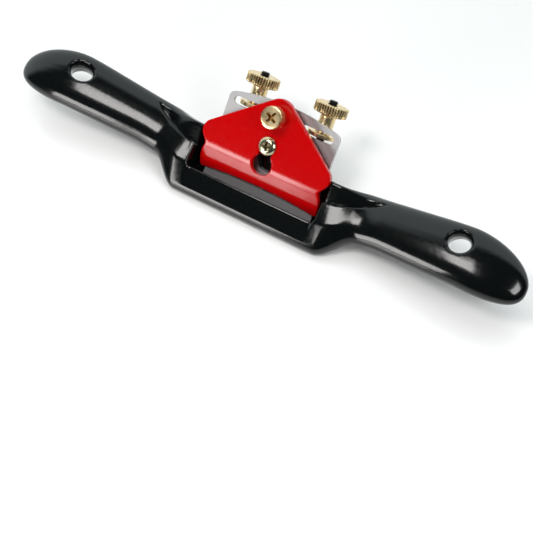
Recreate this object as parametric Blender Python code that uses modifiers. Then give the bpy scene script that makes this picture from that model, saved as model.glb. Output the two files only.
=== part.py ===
"""Adjustable spokeshave with a double-screw cutter adjustment.

Frame of the model: +X runs along the handles to the right, +Y to the back,
away from the toe, and +Z up. The sole lies on z = 0. The world origin is the
middle of the sole behind the mouth.
All shapes are drawn from the mouth, where the plane of the cutter's face meets
the sole. The empty "mouth" stands there and carries everything.
The cutter lies on a bed that rises to the back, so three more directions are
used for everything that is fixed to it: x as above, s up along the cutter
and t out of the cutter's upper face. The empty "bed_frame" holds them.
"""
import math

import bmesh
import bpy
from mathutils import Matrix, Vector

MM = 0.001

# ---------------------------------------------------------------- driving sizes
BED_ANGLE = math.radians(45)
GAP = 0.3 * MM                      # running and resting clearance

MOUTH_Y = -9.5 * MM                 # the mouth, in front of the world origin
SPAN = 245.8 * MM                   # tip to tip
SOLE_HALF_LENGTH = 35 * MM          # straight part of the casting, each side
BAY_HALF_WIDTH = 31.6 * MM          # throat between the cheeks
TOE_REAR_Y = -1.5 * MM              # front edge of the mouth
BED_THICKNESS = 4.5 * MM
SOLE_THICKNESS = 3.5 * MM
BED_TOP_S = 31 * MM

BLADE_WIDTH = 54 * MM
BLADE_THICKNESS = 1.5 * MM
BLADE_EDGE_S = 0.4 * MM             # cutting edge just inside the sole at rest
BLADE_CORNER_S = 42.6 * MM
BLADE_TOP_S = 45.7 * MM
BLADE_CORNER_RADIUS = 2.5 * MM
BEVEL_ANGLE = math.radians(25)
ADJUST_SLOT_S = 39.4 * MM
ADJUST_SLOT_LENGTH = 15.4 * MM
ADJUST_SLOT_WIDTH = 3.6 * MM
SCREW_SLOT_WIDTH = 9.6 * MM
SCREW_SLOT_LOW_S = 20.5 * MM        # centre of its lower round end
SCREW_SLOT_HIGH_S = 29 * MM         # centre of its upper round end

STUD_X = 16.7 * MM
STUD_T = -5.2 * MM
STUD_RADIUS = 2.0 * MM
STUD_BOTTOM_S = 22 * MM
STUD_TOP_S = 54.4 * MM
LUG_RADIUS = 4.4 * MM
LUG_T = -6.3 * MM
LUG_TOP_S = 34.5 * MM

NUT_BORE_RADIUS = STUD_RADIUS + GAP
COLLAR_RADIUS = 6.5 * MM
COLLAR_LOW_S = 38.5 * MM
COLLAR_HIGH_S = 40.3 * MM
NECK_RADIUS = 3.4 * MM
NUT_HEAD_RADIUS = 7.3 * MM
NUT_HEAD_LOW_S = 48.4 * MM
NUT_HEAD_HIGH_S = 52.9 * MM

CAP_FACE_T = 6.2 * MM
CAP_THICKNESS = 2.8 * MM
CAP_APEX_S = 48.4 * MM
CAP_APEX_RADIUS = 7 * MM
CAP_EAR_X = 26.4 * MM               # centre of the rounded ear
CAP_EAR_S = 24.2 * MM
CAP_EAR_RADIUS = 4.5 * MM
CAP_WAIST_X = 28.4 * MM
CAP_FOOT_X = 29.2 * MM
CAP_FOOT_S = 7.3 * MM
CAP_FOOT_RISE = 1.9 * MM            # arch of the lower edge
CAP_SLIDE = 8.3 * MM                # from the narrow to the wide part of the keyhole

CLAMP_SCREW_S = 27.6 * MM           # fixed in the bed, under the keyhole
CLAMP_SCREW_RADIUS = 2.4 * MM
CLAMP_HEAD_RADIUS = 4.0 * MM
CLAMP_HEAD_TOP_T = 8.0 * MM
CLAMP_TIP_T = -9.2 * MM
CLAMP_BOSS_RADIUS = 4.8 * MM
CLAMP_BOSS_T = -10.2 * MM

TENSION_SCREW_S = 40.5 * MM         # through the cap, its tip on the cutter
TENSION_SCREW_RADIUS = 2.5 * MM
TENSION_HEAD_RADIUS = 4.8 * MM
TENSION_HEAD_LOW_T = 9.3 * MM
TENSION_HEAD_TOP_T = 13.2 * MM

KEYHOLE_RADIUS = 4.6 * MM
KEYHOLE_NECK_RADIUS = 2.9 * MM

# Hang holes, slightly oval: side, x, y, z, half length and half width at the throat,
# then the lean to the front and the tilt to the right in degrees.
HANG_HOLES = (
    ("left", -95.0, 10.6, 20.4, 4.8, 3.8, 8, 16),
    ("right", 91.4, 11.2, 20.4, 4.3, 4.1, 12, 0),
)
HANG_HOLE_THROAT = 1.5 * MM         # height of the throat over the middle
HANG_HOLE_UPPER_FLARE = 1.0 * MM    # how much wider it is at the upper face
HANG_HOLE_LOWER_FLARE = 1.8 * MM

ROUND_STEPS = 32
WING_STEPS = 32                     # points around a section of the casting

# Grip sections: x, centre y, centre z, half width, half thickness.
GRIP_STATIONS = (
    (35, 9.8, 9.2, 11.3, 7.2),
    (50, 10.2, 10.6, 11.2, 7.0),
    (58, 10.1, 12.5, 11.0, 7.0),
    (74, 9.2, 16.0, 11.7, 6.8),
    (90, 8.4, 19.2, 12.4, 6.5),
    (98, 8.0, 20.2, 12.5, 6.4),
    (112, 6.6, 20.0, 12.0, 6.2),
    (124, 5.0, 18.6, 11.6, 6.0),
)
GRIP_LEAN = math.radians(20)        # broad faces turned to the front
GRIP_SQUARENESS = 2.3               # exponent of the grip's oval
GRIP_ROUND_START = 98 * MM          # the rounded end begins here
GRIP_END_SQUARENESS = 2.3           # exponent of the rounded end
WEB_END_X = 50 * MM                 # the cheek has become the grip here

# Corners of the cheek in the y-z plane, each with its rounding radius.
CHEEK_CORNERS = (
    (-8.0, 1.7, 1.7),
    (-6.2, 2.8, 3.7),
    (-2.8, 5.4, 1.1),
    (5.7, 14.6, 1.4),
    (13.6, 19.6, 1.4),
    (17.0, 13.2, 2.2),
    (16.4, 1.55, 1.6),
)
# Front corner of each cheek's top beside the throat (y, z, radius), and how steeply it climbs outwards.
CHEEK_SHELF = (-1.0, 11.4, 1.2)
CHEEK_SHELF_RISE = 0.18
SECTION_X = (0, 24, 30.6, 31.8, 35, 37, 39, 41, 43, 45.5, 48, 51, 56, 62, 68, 75, 83, 91, 98, 105, 111,
             116, 119.4, 121.6, 122.8)

# The hollow at the root of a handle: its front edge, then its rear edge.
POCKET_FRONT = ((54.4, 13.6, 19.0), (49.5, 11.3, 17.8), (44.0, 8.7, 16.8), (38.0, 6.4, 16.2),
                (28.0, 5.4, 15.6))
POCKET_REAR = ((28.0, 13.2, 20.4), (40.0, 14.7, 20.2), (51.0, 16.0, 20.3))
POCKET_TIP = (57.6, 16.0, 20.2)
POCKET_DEPTH = 3.4 * MM

BODY_COLLECTION = "spokeshave"


# ---------------------------------------------------------------- helpers
def clear_scene():
    """Remove everything that the new file starts with."""
    for item in list(bpy.data.objects):
        bpy.data.objects.remove(item, do_unlink=True)


def collection(name):
    """Make a collection in the scene."""
    made = bpy.data.collections.new(name)
    bpy.context.scene.collection.children.link(made)
    return made


def material(name, colour, metallic, roughness):
    """A Principled BSDF material."""
    made = bpy.data.materials.new(name)
    made.use_nodes = True
    shader = made.node_tree.nodes["Principled BSDF"]
    shader.inputs["Base Color"].default_value = (*colour, 1.0)
    shader.inputs["Metallic"].default_value = metallic
    shader.inputs["Roughness"].default_value = roughness
    return made


def add_object(name, data, group, surface=None, parent=None, location=(0, 0, 0), rotation=(0, 0, 0)):
    """Link an object, place it, and give it its material."""
    item = bpy.data.objects.new(name, data)
    group.objects.link(item)
    item.location = location
    item.rotation_euler = rotation
    item.parent = parent
    if surface is not None:
        data.materials.clear()
        data.materials.append(surface)
    return item


def mark_cutter(item):
    """Show a tool body as wire and keep it out of the model."""
    item.hide_render = True
    item.display_type = "WIRE"
    return item


def mesh_from_bmesh(name, shape):
    """Turn a bmesh into mesh data with its faces pointing out."""
    bmesh.ops.recalc_face_normals(shape, faces=shape.faces)
    data = bpy.data.meshes.new(name)
    shape.to_mesh(data)
    shape.free()
    return data


def cylinder_mesh(name, radius, low, high, steps=ROUND_STEPS):
    """A closed cylinder on the local Z axis, from low to high."""
    shape = bmesh.new()
    middle = Matrix.Translation((0, 0, (low + high) / 2))
    bmesh.ops.create_cone(shape, cap_ends=True, segments=steps, radius1=radius, radius2=radius,
                          depth=high - low, matrix=middle)
    return mesh_from_bmesh(name, shape)


def box_mesh(name, low, high):
    """A closed box between two corners."""
    shape = bmesh.new()
    size = [b - a for a, b in zip(low, high)]
    centre = [(a + b) / 2 for a, b in zip(low, high)]
    place = Matrix.Translation(centre) @ Matrix.Diagonal((*size, 1.0))
    bmesh.ops.create_cube(shape, size=1.0, matrix=place)
    return mesh_from_bmesh(name, shape)


def outline_mesh(name, loops, thickness):
    """Extrude closed outlines, the first one solid and the others holes, about local z = 0."""
    curve = bpy.data.curves.new(name + "_outline", "CURVE")
    curve.dimensions = "2D"
    curve.fill_mode = "BOTH"
    curve.extrude = thickness / 2
    for loop in loops:
        spline = curve.splines.new("POLY")
        spline.points.add(len(loop) - 1)
        for point, (x, y) in zip(spline.points, loop):
            point.co = (x, y, 0, 1)
        spline.use_cyclic_u = True
    holder = bpy.data.objects.new(name + "_holder", curve)
    bpy.context.scene.collection.objects.link(holder)
    bpy.context.view_layer.update()
    evaluated = holder.evaluated_get(bpy.context.evaluated_depsgraph_get())
    data = bpy.data.meshes.new_from_object(evaluated)
    data.name = name
    bpy.data.objects.remove(holder, do_unlink=True)
    bpy.data.curves.remove(curve)
    weld_mesh(data)
    return data


def weld_mesh(data):
    """Weld the loose caps of a converted curve."""
    shape = bmesh.new()
    shape.from_mesh(data)
    bmesh.ops.remove_doubles(shape, verts=shape.verts, dist=0.01 * MM)
    bmesh.ops.recalc_face_normals(shape, faces=shape.faces)
    shape.to_mesh(data)
    shape.free()


def arc(centre, radius, start, end, count):
    """Points on an arc between two angles in degrees, both ends included."""
    points = []
    for index in range(count):
        angle = math.radians(start + (end - start) * index / (count - 1))
        points.append((centre[0] + radius * math.cos(angle), centre[1] + radius * math.sin(angle)))
    return points


def obround(centre, length, width, count=7):
    """A slot outline with round ends, lying along local x."""
    radius = width / 2
    reach = length / 2 - radius
    right = arc((centre[0] + reach, centre[1]), radius, -90, 90, count)
    left = arc((centre[0] - reach, centre[1]), radius, 90, 270, count)
    return right + left


def upright_slot(low, high, radius, count=9):
    """A slot outline with round ends, on the middle line from low to high."""
    return arc((0, high), radius, 0, 180, count) + arc((0, low), radius, 180, 360, count)


def turned(name, profile, group, surface, parent, location, rotation=(0, 0, 0), steps=ROUND_STEPS):
    """Turn a profile around the local Z axis with a Screw modifier.

    The profile runs down its outer side, top to bottom, as (radius, height) pairs.
    """
    shape = bmesh.new()
    corners = [shape.verts.new((radius, 0, height)) for radius, height in profile]
    for first, second in zip(corners, corners[1:]):
        shape.edges.new((first, second))
    data = bpy.data.meshes.new(name)
    shape.to_mesh(data)
    shape.free()
    item = add_object(name, data, group, surface, parent, location, rotation)
    screw = item.modifiers.new("Turn", "SCREW")
    screw.axis = "Z"
    screw.steps = steps
    screw.render_steps = steps
    screw.use_merge_vertices = True
    screw.merge_threshold = 0.00001
    screw.use_smooth_shade = True
    return item


def boolean(item, tool, operation):
    """Add an exact Boolean modifier."""
    modifier = item.modifiers.new(tool.name, "BOOLEAN")
    modifier.operation = operation
    modifier.solver = "EXACT"
    modifier.object = tool
    return modifier


def shade_round(data, angle=35):
    """Smooth shading that keeps the real edges sharp."""
    data.shade_smooth()
    data.set_sharp_from_angle(angle=math.radians(angle))


def smooth_step(value):
    """Ease from 0 to 1 with level ends."""
    value = min(max(value, 0.0), 1.0)
    return value * value * (3 - 2 * value)


def along_stations(stations, x):
    """Smooth interpolation of a station table at x, with a Hermite curve through the rows."""
    xs = [row[0] for row in stations]
    last = len(xs) - 1
    index = max(i for i in range(last) if xs[i] <= x)
    span = xs[index + 1] - xs[index]
    part = (x - xs[index]) / span
    values = []
    for column in range(1, len(stations[0])):
        rows = [row[column] for row in stations]
        before = max(index - 1, 0)
        after = min(index + 2, last)
        slope_start = (rows[index + 1] - rows[before]) / (xs[index + 1] - xs[before]) * span
        slope_end = (rows[after] - rows[index]) / (xs[after] - xs[index]) * span
        cubic = (2 * part**3 - 3 * part**2 + 1) * rows[index]
        cubic += (part**3 - 2 * part**2 + part) * slope_start
        cubic += (3 * part**2 - 2 * part**3) * rows[index + 1]
        cubic += (part**3 - part**2) * slope_end
        values.append(cubic)
    return values


# ---------------------------------------------------------------- the casting
def cheek_point(x, angle):
    """Point of the outline at x whose outward normal has this angle, with the sole cut flat.

    Beyond the throat the outline has the shelf corner too; in front of the throat it is the low toe.
    """
    corners = list(CHEEK_CORNERS)
    beyond = x - BAY_HALF_WIDTH
    if beyond >= 0:
        y, z, r = CHEEK_SHELF
        corners.append((y, z + CHEEK_SHELF_RISE * beyond / MM, r))
    direction = (math.cos(angle), math.sin(angle))
    reach = [y * direction[0] + z * direction[1] + r for y, z, r in corners]
    y, z, r = corners[reach.index(max(reach))]
    return Vector(((y + r * direction[0]) * MM, max(z + r * direction[1], 0) * MM))


def grip_point(x, angle):
    """Point of the grip's oval at x whose outward normal has this angle."""
    y, z, half_width, half_thick = along_stations(GRIP_STATIONS, x / MM)
    run = max(x - GRIP_ROUND_START, 0)
    end = SPAN / 2 - GRIP_ROUND_START
    shrink = max(1 - (run / end) ** GRIP_END_SQUARENESS, 0) ** (1 / GRIP_END_SQUARENESS)
    power = GRIP_SQUARENESS / (GRIP_SQUARENESS - 1)
    across = math.cos(angle - GRIP_LEAN)
    upward = math.sin(angle - GRIP_LEAN)
    width = half_width * shrink
    thick = half_thick * shrink
    norm = (abs(width * across) ** power + abs(thick * upward) ** power) ** (1 / GRIP_SQUARENESS)
    out_across = math.copysign(abs(width * across) ** (power - 1), across) * width / norm
    out_upward = math.copysign(abs(thick * upward) ** (power - 1), upward) * thick / norm
    lean = Matrix.Rotation(GRIP_LEAN, 2)
    offset = lean @ Vector((out_across, out_upward))
    return Vector((y, z)) * MM + offset * MM


def casting_section(x):
    """Closed section of the casting at x, as points in the y-z plane."""
    share = smooth_step((x - SOLE_HALF_LENGTH) / (WEB_END_X - SOLE_HALF_LENGTH))
    points = []
    for index in range(WING_STEPS):
        angle = 2 * math.pi * (index + 0.5) / WING_STEPS
        grip = grip_point(max(x, SOLE_HALF_LENGTH), angle)
        points.append(cheek_point(x, angle) * (1 - share) + grip * share)
    return points


def casting_half_mesh():
    """Loft the right half of the casting, open at the middle plane."""
    shape = bmesh.new()
    stations = [x * MM for x in SECTION_X]
    rings = []
    for x in stations:
        rings.append([shape.verts.new((x, point.x, point.y)) for point in casting_section(x)])
    for ring, following in zip(rings, rings[1:]):
        for index in range(WING_STEPS):
            after = (index + 1) % WING_STEPS
            shape.faces.new((ring[index], ring[after], following[after], following[index]))
    shape.faces.new(rings[-1])
    bmesh.ops.remove_doubles(shape, verts=shape.verts, dist=0.005 * MM)
    return mesh_from_bmesh("frame", shape)


def moved(data, place):
    """Move mesh data in space."""
    data.transform(place)
    return data


def across_prism(name, outline, half_width):
    """Extrude an outline of a plane that stands along the handles, to both sides of x = 0."""
    data = outline_mesh(name, [outline], 2 * half_width)
    turn = Matrix(((0, 0, 1, 0), (1, 0, 0, 0), (0, 1, 0, 0), (0, 0, 0, 1)))
    return moved(data, turn)


def bed_line_y(t, z):
    """The y where the plane at distance t over the cutter's face meets height z."""
    return z / math.tan(BED_ANGLE) - t / math.sin(BED_ANGLE)


def bay_mesh():
    """Everything over the bed and behind the toe, between the cheeks."""
    low = -4 * MM
    high = 48 * MM
    bed_t = -BLADE_THICKNESS - GAP
    outline = [(TOE_REAR_Y, low), (bed_line_y(bed_t, low), low), (bed_line_y(bed_t, high), high),
               (TOE_REAR_Y, high)]
    return across_prism("bay", outline, BAY_HALF_WIDTH)


def back_hollow_mesh():
    """The open space under the bed, over the sole and between the cheeks."""
    back_t = -BLADE_THICKNESS - GAP - BED_THICKNESS
    reach = 42 * MM
    high = (reach - bed_line_y(back_t, 0)) * math.tan(BED_ANGLE)
    outline = [(bed_line_y(back_t, SOLE_THICKNESS), SOLE_THICKNESS), (reach, SOLE_THICKNESS), (reach, high)]
    return across_prism("back_hollow", outline, BAY_HALF_WIDTH)


def bed_block_mesh():
    """The upper part of the bed, as an outline of the cutter's plane."""
    low = 9 * MM
    shoulder_x = BAY_HALF_WIDTH + 0.6 * MM
    shoulder_s = 15 * MM
    upper_x = 26.3 * MM
    upper_s = 23 * MM
    top_x = 19.5 * MM
    corner = 2.5 * MM
    right = [(shoulder_x, low), (shoulder_x, shoulder_s), (upper_x, upper_s)]
    right += arc((top_x, BED_TOP_S - corner), corner, 30, 90, 4)
    left = [(-x, s) for x, s in reversed(right)]
    thickness = BED_THICKNESS + 3 * MM
    data = outline_mesh("bed_block", [right + left], thickness)
    back_t = -BLADE_THICKNESS - GAP - BED_THICKNESS + 0.1 * MM
    return moved(data, Matrix.Translation((0, 0, back_t + thickness / 2)))


def pocket_mesh(side):
    """The three-cornered hollow at the root of a handle, open to the bay, with upright walls."""
    mirror = Vector((side, 1, 1)) * MM
    front = [Vector(point) * mirror for point in POCKET_FRONT]
    rear = [Vector(point) * mirror for point in POCKET_REAR]
    tip = Vector(POCKET_TIP) * mirror
    inward = ((front[-1] + rear[0]) / 2 - tip).normalized()
    normal = inward.cross(front[-1] - rear[0]).normalized() * side
    sideways = normal.cross(inward)
    outline = [((corner - tip).dot(inward), (corner - tip).dot(sideways)) for corner in [tip] + front + rear]
    thickness = 14 * MM
    data = outline_mesh("pocket", [outline], thickness)
    lift = Matrix.Translation((0, 0, thickness / 2 - POCKET_DEPTH))
    upright = Vector((0, 0, 1))
    axes = Matrix((inward, sideways, upright)).transposed().to_4x4()
    return moved(data, Matrix.Translation(tip) @ axes @ lift)


def hang_hole_mesh(x, y, z, half_length, half_width, lean, tilt):
    """Cutter for the oval hole near the end of a handle, flared towards both faces."""
    reach = 12 * MM
    face = 6 * MM
    radius = half_length * MM
    profile = ((radius + 2 * HANG_HOLE_LOWER_FLARE, -reach), (radius + HANG_HOLE_LOWER_FLARE, -face),
               (radius, HANG_HOLE_THROAT), (radius + HANG_HOLE_UPPER_FLARE, face),
               (radius + 2 * HANG_HOLE_UPPER_FLARE, reach))
    shape = bmesh.new()
    corners = [shape.verts.new((distance, 0, height)) for distance, height in profile]
    for first, second in zip(corners, corners[1:]):
        shape.edges.new((first, second))
    bmesh.ops.spin(shape, geom=shape.verts[:] + shape.edges[:], cent=(0, 0, 0), axis=(0, 0, 1),
                   angle=2 * math.pi, steps=24)
    bmesh.ops.remove_doubles(shape, verts=shape.verts, dist=0.001 * MM)
    bmesh.ops.holes_fill(shape, edges=shape.edges[:])
    data = mesh_from_bmesh("hang_hole", shape)
    oval = Matrix.Diagonal((1, half_width / half_length, 1, 1))
    turn = Matrix.Rotation(math.radians(tilt), 4, "Y") @ Matrix.Rotation(math.radians(lean), 4, "X")
    place = Matrix.Translation(Vector((x, y, z)) * MM)
    return moved(data, place @ turn @ oval)


def along_bed(x, t):
    """Location and rotation that point local Z up the bed at x and t."""
    return {"location": (x, 0, t), "rotation": (-math.pi / 2, 0, 0)}


def make_frame(parts, cutters, mouth, bed_frame, surface):
    """The one-piece iron casting: toe, cheeks, bed, sole and both handles."""
    frame = add_object("frame", casting_half_mesh(), parts, surface, mouth)
    mirror = frame.modifiers.new("Both handles", "MIRROR")
    mirror.merge_threshold = 0.00005

    def tool(name, data, operation, parent=mouth, location=(0, 0, 0), rotation=(0, 0, 0)):
        body = mark_cutter(add_object(name, data, cutters, None, parent, location, rotation))
        boolean(frame, body, operation)

    tool("cut_block", bed_block_mesh(), "UNION", bed_frame)
    tool("cut_bay", bay_mesh(), "DIFFERENCE")
    tool("cut_back_hollow", back_hollow_mesh(), "DIFFERENCE")
    for side, label in ((-1, "left"), (1, "right")):
        lug = cylinder_mesh("lug", LUG_RADIUS, 14 * MM, LUG_TOP_S, 24)
        tool("join_lug_" + label, lug, "UNION", bed_frame, **along_bed(side * STUD_X, LUG_T))
    boss = cylinder_mesh("boss", CLAMP_BOSS_RADIUS, CLAMP_BOSS_T, -4 * MM, 24)
    tool("join_boss", boss, "UNION", bed_frame, (0, CLAMP_SCREW_S, 0))
    for side, label in ((-1, "left"), (1, "right")):
        bore = cylinder_mesh("stud_bore", STUD_RADIUS + GAP, STUD_BOTTOM_S - GAP, LUG_TOP_S + 5 * MM, 16)
        tool("cut_stud_bore_" + label, bore, "DIFFERENCE", bed_frame, **along_bed(side * STUD_X, STUD_T))
        tool("cut_pocket_" + label, pocket_mesh(side), "DIFFERENCE")
    for label, *hole in HANG_HOLES:
        tool("cut_hang_hole_" + label, hang_hole_mesh(*hole), "DIFFERENCE")
    clamp_bore = cylinder_mesh("clamp_bore", CLAMP_SCREW_RADIUS + GAP, -15 * MM, 5 * MM, 24)
    tool("cut_clamp_bore", clamp_bore, "DIFFERENCE", bed_frame, (0, CLAMP_SCREW_S, 0))
    shade_round(frame.data)
    return frame


# ---------------------------------------------------------------- cutter and cap
def blade_outline():
    """Outline of the cutter: square at the edge, round corners, a crowned top."""
    half = BLADE_WIDTH / 2
    radius = BLADE_CORNER_RADIUS
    crown_x = half - 2 * MM
    crown_drop = BLADE_TOP_S - BLADE_CORNER_S
    right = [(half, BLADE_EDGE_S)]
    right += arc((half - radius, BLADE_CORNER_S - radius), radius, 0, 68, 5)
    count = 6
    for index in range(count):
        x = crown_x * (1 - index / count)
        right.append((x, BLADE_TOP_S - crown_drop * (x / crown_x) ** 2 + 0.1 * MM * (x / crown_x)))
    left = [(-x, s) for x, s in reversed(right)]
    return right + [(0, BLADE_TOP_S)] + left


def make_blade(parts, cutters, bed_frame, surface):
    """The cutter, bevelled on the side that lies on the bed."""
    slots = [upright_slot(SCREW_SLOT_LOW_S, SCREW_SLOT_HIGH_S, SCREW_SLOT_WIDTH / 2)]
    for side in (-1, 1):
        slots.append(obround((side * STUD_X, ADJUST_SLOT_S), ADJUST_SLOT_LENGTH, ADJUST_SLOT_WIDTH))
    data = outline_mesh("blade", [blade_outline()] + slots, BLADE_THICKNESS)
    moved(data, Matrix.Translation((0, 0, -BLADE_THICKNESS / 2)))
    blade = add_object("blade", data, parts, surface, bed_frame)
    land = 0.1 * MM
    run = 3 * MM
    rise = math.tan(BEVEL_ANGLE)
    low_s = BLADE_EDGE_S - run
    high_s = BLADE_EDGE_S + 2 * run
    outline = [(low_s, -land + run * rise), (low_s, -land - 2 * run * rise), (high_s, -land - 2 * run * rise)]
    wedge = across_prism("bevel_wedge", outline, BLADE_WIDTH)
    boolean(blade, mark_cutter(add_object("cut_bevel", wedge, cutters, None, bed_frame)), "DIFFERENCE")
    shade_round(blade.data)
    return blade


def cap_outline():
    """Outline of the lever cap: round apex, ears, waist and arched foot."""
    edge_angle = math.atan2(CAP_EAR_X, CAP_APEX_S - CAP_APEX_RADIUS - CAP_EAR_S)
    upper_normal = math.degrees(edge_angle)
    start = 90 - math.degrees(math.atan2(CAP_APEX_S - CAP_APEX_RADIUS - CAP_EAR_S, CAP_EAR_X))
    right = [(0, CAP_APEX_S)]
    right += arc((0, CAP_APEX_S - CAP_APEX_RADIUS), CAP_APEX_RADIUS, 72, start, 4)
    right += arc((CAP_EAR_X, CAP_EAR_S), CAP_EAR_RADIUS, upper_normal, -38, 7)
    right += [(CAP_WAIST_X + 0.2 * MM, 18.6 * MM), (CAP_WAIST_X, 17 * MM)]
    right += [(CAP_WAIST_X + 0.1 * MM, 11.5 * MM)]
    right += [(CAP_FOOT_X, 8.6 * MM), (CAP_FOOT_X - 0.3 * MM, CAP_FOOT_S + 0.3 * MM)]
    foot_x = CAP_FOOT_X - 1.2 * MM
    count = 5
    for index in range(count):
        x = foot_x * (1 - index / count)
        right.append((x, CAP_FOOT_S + CAP_FOOT_RISE * (1 - (x / foot_x) ** 2)))
    left = [(-x, s) for x, s in reversed(right[1:])]
    return right + [(0, CAP_FOOT_S + CAP_FOOT_RISE)] + left


def cap_profile():
    """Side profile of the lever cap: flat plate, sloping front band and a lip on the cutter."""
    plate_under = CAP_FACE_T - CAP_THICKNESS
    top_s = CAP_APEX_S + 4 * MM
    return [(top_s, CAP_FACE_T), (17.9 * MM, CAP_FACE_T), (10.8 * MM, 3.4 * MM), (8.6 * MM, 2.2 * MM),
            (5 * MM, 1.2 * MM), (5 * MM, GAP), (11.4 * MM, GAP), (16.5 * MM, plate_under),
            (top_s, plate_under)]


def keyhole_outline():
    """A wide round hole under a narrower slot that ends over the clamp screw."""
    low_s = CLAMP_SCREW_S - CAP_SLIDE
    neck = KEYHOLE_NECK_RADIUS
    opening = math.degrees(math.acos(neck / KEYHOLE_RADIUS))
    points = arc((0, CLAMP_SCREW_S), neck, 0, 180, 9)
    points += arc((0, low_s), KEYHOLE_RADIUS, 180 - opening, 360 + opening, 17)
    return points


def make_lever_cap(parts, cutters, bed_frame, surface):
    """The cap that clamps the cutter."""
    slab = across_prism("lever_cap", cap_profile(), 36 * MM)
    cap = add_object("lever_cap", slab, parts, surface, bed_frame)
    tall = 24 * MM
    shield = outline_mesh("shield", [cap_outline()], tall)
    shield_tool = mark_cutter(add_object("keep_shield", shield, cutters, None, bed_frame))
    keyhole = outline_mesh("keyhole", [keyhole_outline()], tall)
    keyhole_tool = mark_cutter(add_object("cut_keyhole", keyhole, cutters, None, bed_frame))
    bore = cylinder_mesh("tension_bore", TENSION_SCREW_RADIUS + GAP, 0, tall, 24)
    bore_place = (0, TENSION_SCREW_S, 0)
    bore_tool = mark_cutter(add_object("cut_tension_bore", bore, cutters, None, bed_frame, bore_place))
    boolean(cap, shield_tool, "INTERSECT")
    boolean(cap, keyhole_tool, "DIFFERENCE")
    boolean(cap, bore_tool, "DIFFERENCE")
    shade_round(cap.data)
    return cap


# ---------------------------------------------------------------- screws, studs and nuts
def cross_recess(cutters, parent, name, location, arm, width, depth, turn):
    """Cutter for a cross recess whose mouth is at the location."""
    first = box_mesh(name, (-arm, -width / 2, -depth), (arm, width / 2, depth))
    body = mark_cutter(add_object(name, first, cutters, None, parent, location, (0, 0, turn)))
    second = box_mesh(name + "_cross", (-width / 2, -arm, -depth), (width / 2, arm, depth))
    crossing = mark_cutter(add_object(name + "_cross", second, cutters, None, parent, location, (0, 0, turn)))
    return body, crossing


def make_tension_screw(parts, cutters, bed_frame, surface):
    """The knurled screw in the cap, whose tip presses on the cutter."""
    edge = 0.5 * MM
    profile = [(0, TENSION_HEAD_TOP_T), (TENSION_HEAD_RADIUS - edge, TENSION_HEAD_TOP_T),
               (TENSION_HEAD_RADIUS, TENSION_HEAD_TOP_T - edge),
               (TENSION_HEAD_RADIUS, TENSION_HEAD_LOW_T + edge),
               (TENSION_HEAD_RADIUS - edge, TENSION_HEAD_LOW_T), (TENSION_SCREW_RADIUS, TENSION_HEAD_LOW_T),
               (TENSION_SCREW_RADIUS, GAP + edge), (TENSION_SCREW_RADIUS - edge, GAP), (0, GAP)]
    place = (0, TENSION_SCREW_S, 0)
    screw = turned("cap_screw", profile, parts, surface, bed_frame, place, steps=28)
    mouth = (0, TENSION_SCREW_S, TENSION_HEAD_TOP_T)
    turn = math.radians(-30)
    for tool in cross_recess(cutters, bed_frame, "cap_screw_recess", mouth, 2.8 * MM, 1.2 * MM,
                             1.4 * MM, turn):
        boolean(screw, tool, "DIFFERENCE")
    return screw


def make_clamp_screw(parts, cutters, bed_frame, surface):
    """The screw in the bed that holds the cap down through its keyhole."""
    under = CAP_FACE_T + GAP
    radius = CLAMP_HEAD_RADIUS
    edge = 0.5 * MM
    profile = [(0, CLAMP_HEAD_TOP_T), (0.7 * radius, CLAMP_HEAD_TOP_T - 0.15 * MM),
               (0.93 * radius, CLAMP_HEAD_TOP_T - 0.6 * MM), (radius, under + 0.35 * MM), (radius, under),
               (CLAMP_SCREW_RADIUS, under), (CLAMP_SCREW_RADIUS, CLAMP_TIP_T + edge),
               (CLAMP_SCREW_RADIUS - edge, CLAMP_TIP_T), (0, CLAMP_TIP_T)]
    screw = turned("retaining_screw", profile, parts, surface, bed_frame, (0, CLAMP_SCREW_S, 0), steps=24)
    mouth = (0, CLAMP_SCREW_S, CLAMP_HEAD_TOP_T)
    turn = math.radians(12)
    for tool in cross_recess(cutters, bed_frame, "retaining_screw_recess", mouth, 2.1 * MM, 0.9 * MM,
                             1.1 * MM, turn):
        boolean(screw, tool, "DIFFERENCE")
    return screw


def make_stud(label, side, parts, bed_frame, surface):
    """A threaded stud fixed in the bed, parallel to it."""
    edge = 0.4 * MM
    profile = [(0, STUD_TOP_S), (STUD_RADIUS - edge, STUD_TOP_S), (STUD_RADIUS, STUD_TOP_S - edge),
               (STUD_RADIUS, STUD_BOTTOM_S + edge), (STUD_RADIUS - edge, STUD_BOTTOM_S), (0, STUD_BOTTOM_S)]
    return turned("adjuster_stud_" + label, profile, parts, surface, bed_frame, steps=16,
                  **along_bed(side * STUD_X, STUD_T))


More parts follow.
